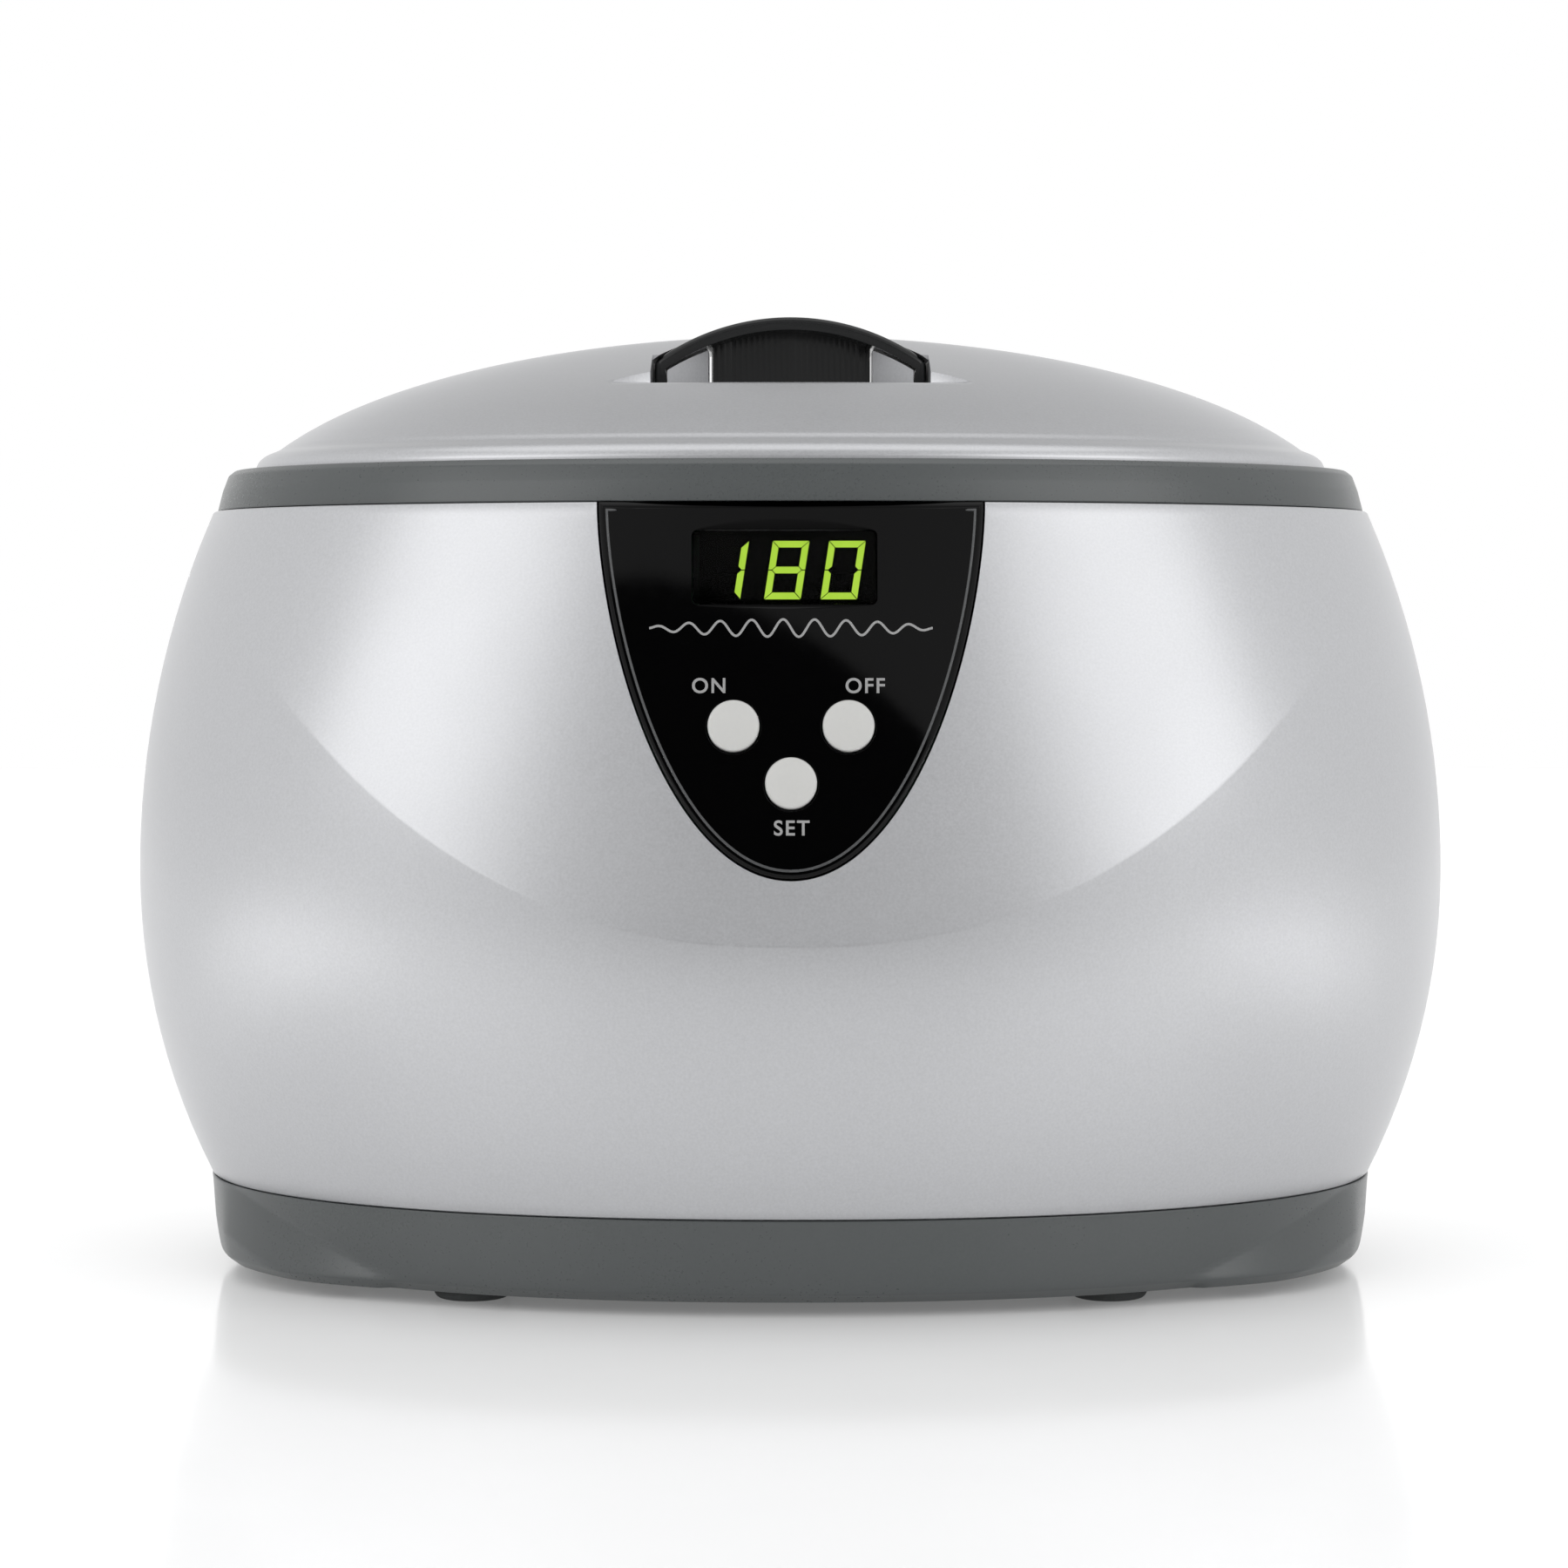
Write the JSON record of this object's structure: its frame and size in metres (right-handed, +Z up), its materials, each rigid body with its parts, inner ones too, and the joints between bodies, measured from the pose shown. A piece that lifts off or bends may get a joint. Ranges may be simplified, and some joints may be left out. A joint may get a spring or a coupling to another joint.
{
  "type": "ultrasonic cleaner",
  "caption": "Oval tabletop ultrasonic cleaner: barrel-shaped silver housing, steel tank, lift-off domed lid with a bridging grip, slotted basket and a display panel with round keys.",
  "frame": {"origin": "on the table, under the middle of the housing", "axes": "+Z up, -Y towards the user and the control panel, +X to the user's right along the long side"},
  "size_m": [0.2058, 0.1462, 0.1487],
  "materials": {
    "silver_paint": "satin metallic silver lacquer on moulded plastic",
    "dark_grey_plastic": "fine-grained satin dark grey moulding",
    "black_gloss": "polished black",
    "smoked_window": "polished smoked black",
    "grey_key": "light grey semi-gloss",
    "stainless_steel": "deep-drawn stainless sheet, satin",
    "rubber": "soft black rubber",
    "zinc_steel": "zinc-plated",
    "aluminium": "machined",
    "copper_alloy": "copper alloy, tinned where soldered",
    "piezo_ceramic": "fired and silvered",
    "circuit_board": "green solder mask on glass laminate",
    "black_moulding": "moulded black",
    "ferrite": "dark grey ferrite",
    "capacitor_sleeve": "shrunk sleeve",
    "film_capacitor_case": "yellow case",
    "nickel_pin": "nickel-plated",
    "wire_insulation": "coloured insulation",
    "ribbon_insulation": "grey flat cable",
    "basket_plastic": "satin black moulding"
  },
  "bodies": {
    "base": {"housing_shell": "silver_paint", "rim_ring": "dark_grey_plastic", "base_tray": "dark_grey_plastic", "foot_front_left": "rubber", "base_screw_front_left": "zinc_steel", "foot_front_right": "rubber", "base_screw_front_right": "zinc_steel", "foot_rear_left": "rubber", "base_screw_rear_left": "zinc_steel", "foot_rear_right": "rubber", "base_screw_rear_right": "zinc_steel", "tank": "stainless_steel", "tank_gasket": "rubber", "transducer_front_mass": "aluminium", "transducer_back_mass": "zinc_steel", "transducer_bolt": "zinc_steel", "electrode_upper": "copper_alloy", "electrode_lower": "copper_alloy", "piezo_ring_upper": "piezo_ceramic", "piezo_ring_lower": "piezo_ceramic", "control_panel": "black_gloss", "display_window": "smoked_window", "led_display": "black_moulding", "display_board": "circuit_board", "driver_board": "circuit_board", "on_switch": "black_moulding", "off_switch": "black_moulding", "set_switch": "black_moulding", "panel_screw_left": "zinc_steel", "panel_screw_right": "zinc_steel", "ferrite_transformer": "ferrite", "resonance_inductor": "copper_alloy", "electrolytic_capacitor": "capacitor_sleeve", "film_capacitor_large": "film_capacitor_case", "film_capacitor_small": "film_capacitor_case", "heatsink": "aluminium", "power_transistor_left": "black_moulding", "power_transistor_right": "black_moulding", "fuse": "zinc_steel", "power_inlet": "black_moulding", "inlet_pin_left": "nickel_pin", "inlet_pin_right": "nickel_pin", "mains_wire_live": "wire_insulation", "mains_wire_neutral": "wire_insulation", "transducer_wire_hot": "wire_insulation", "transducer_wire_ground": "wire_insulation", "display_ribbon": "ribbon_insulation"},
    "lid": {"lid_shell": "silver_paint", "grip_cap": "black_gloss", "grip_screw_left": "zinc_steel", "grip_screw_right": "zinc_steel"},
    "basket": {"basket": "basket_plastic"},
    "on_key": {"on_button": "grey_key"},
    "off_key": {"off_button": "grey_key"},
    "set_key": {"set_button": "grey_key"}
  },
  "joints": [
    {"name": "lid_lift", "type": "slide", "parent": "base", "child": "lid", "axis": [0, 0, 1], "range_m": [0, 0.16]},
    {"name": "basket_lift", "type": "slide", "parent": "base", "child": "basket", "axis": [0, 0, 1], "range_m": [0, 0.08]},
    {"name": "on_press", "type": "slide", "parent": "base", "child": "on_key", "axis": [0, 0.9837, -0.1799], "range_m": [0, 0.0008], "stiffness_N_per_m": 600, "springref_m": -0.0005},
    {"name": "off_press", "type": "slide", "parent": "base", "child": "off_key", "axis": [0, 0.9837, -0.1799], "range_m": [0, 0.0008], "stiffness_N_per_m": 600, "springref_m": -0.0005},
    {"name": "set_press", "type": "slide", "parent": "base", "child": "set_key", "axis": [0, 0.9837, -0.1799], "range_m": [0, 0.0008], "stiffness_N_per_m": 600, "springref_m": -0.0005}
  ],
  "couplings": [
    {"joint": "basket_lift", "follows": "lid_lift", "ratio": 0.5}
  ]
}
